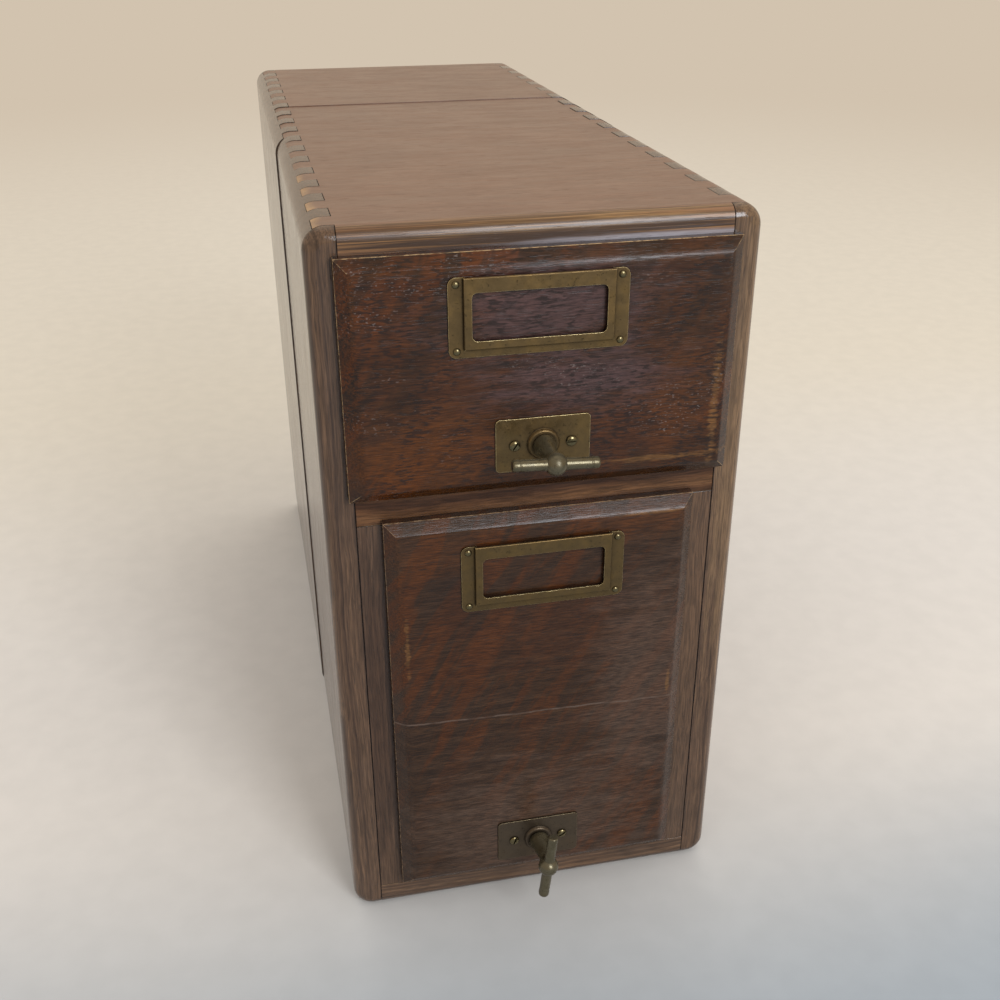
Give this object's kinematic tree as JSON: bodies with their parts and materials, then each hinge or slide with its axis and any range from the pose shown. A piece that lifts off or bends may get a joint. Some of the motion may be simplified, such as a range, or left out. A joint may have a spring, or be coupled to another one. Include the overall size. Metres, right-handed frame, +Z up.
{
  "type": "card file cabinet",
  "caption": "Desktop card cabinet of stacked lipped drawers in a finger-jointed case, with T-handled card rods, label holders and sliding card followers.",
  "frame": {"origin": "middle of the case's underside", "axes": "+Z up, -Y out of the drawer fronts, +X to the right of someone facing the drawers"},
  "size_m": [0.178, 0.4788, 0.33],
  "materials": {
    "oak_top": "old satin varnish",
    "oak_case": "old satin varnish",
    "oak_front": "old satin varnish",
    "oak_box": "bare, worn",
    "brass_sheet": "aged, dull",
    "brass_handle": "aged, worn bright",
    "brass_pin": "aged, worn bright",
    "brass_rod": "drawn, dull",
    "steel_screw": "dull"
  },
  "bodies": {
    "case": {"top_front_board": "oak_top", "top_rear_board": "oak_top", "bottom_front_board": "oak_case", "bottom_rear_board": "oak_case", "left_side_front_board": "oak_case", "left_side_rear_board": "oak_case", "right_side_front_board": "oak_case", "right_side_rear_board": "oak_case", "middle_rail": "oak_front", "rear_rail": "oak_box", "left_runner": "oak_box", "right_runner": "oak_box", "left_stile": "oak_case", "right_stile": "oak_case", "left_guide": "oak_box", "right_guide": "oak_box", "left_wear_strip": "oak_box", "right_wear_strip": "oak_box", "upper_stop": "oak_box", "lower_stop": "oak_box", "back_panel": "oak_case", "back_screws": "steel_screw"},
    "upper_drawer": {"upper_front": "oak_front", "upper_left_side": "oak_box", "upper_right_side": "oak_box", "upper_back": "oak_box", "upper_bottom": "oak_box", "upper_label_holder": "brass_sheet", "upper_label_pins": "brass_pin", "upper_pull_plate": "brass_sheet", "upper_plate_screws": "brass_pin", "upper_rod_socket": "brass_sheet"},
    "upper_rod": {"upper_rod": "brass_rod", "upper_handle": "brass_handle", "upper_crossbar": "brass_handle"},
    "upper_follower": {"upper_follower": "oak_box", "upper_follower_plate": "brass_sheet", "upper_follower_screws": "brass_pin"},
    "lower_drawer": {"lower_front": "oak_front", "lower_left_side": "oak_box", "lower_right_side": "oak_box", "lower_back": "oak_box", "lower_bottom": "oak_box", "lower_label_holder": "brass_sheet", "lower_label_pins": "brass_pin", "lower_pull_plate": "brass_sheet", "lower_plate_screws": "brass_pin", "lower_rod_socket": "brass_sheet"},
    "lower_rod": {"lower_rod": "brass_rod", "lower_handle": "brass_handle", "lower_crossbar": "brass_handle"},
    "lower_follower": {"lower_follower": "oak_box", "lower_follower_plate": "brass_sheet", "lower_follower_screws": "brass_pin"}
  },
  "joints": [
    {"name": "upper_drawer_slide", "type": "slide", "parent": "case", "child": "upper_drawer", "axis": [0, -1, 0], "range_m": [0, 0.364]},
    {"name": "upper_rod_turn", "type": "hinge", "parent": "upper_drawer", "child": "upper_rod", "pos_m": [-0.0012, -0.23095, 0.2426], "axis": [0, -1, 0], "continuous": true},
    {"name": "upper_follower_slide", "type": "slide", "parent": "upper_drawer", "child": "upper_follower", "axis": [0, -1, 0], "range_m": [0, 0.361]},
    {"name": "lower_drawer_slide", "type": "slide", "parent": "case", "child": "lower_drawer", "axis": [0, -1, 0], "range_m": [0, 0.372]},
    {"name": "lower_rod_turn", "type": "hinge", "parent": "lower_drawer", "child": "lower_rod", "pos_m": [-0.0012, -0.23095, 0.0373], "axis": [0, -1, 0], "continuous": true},
    {"name": "lower_follower_slide", "type": "slide", "parent": "lower_drawer", "child": "lower_follower", "axis": [0, -1, 0], "range_m": [0, 0.361]}
  ]
}
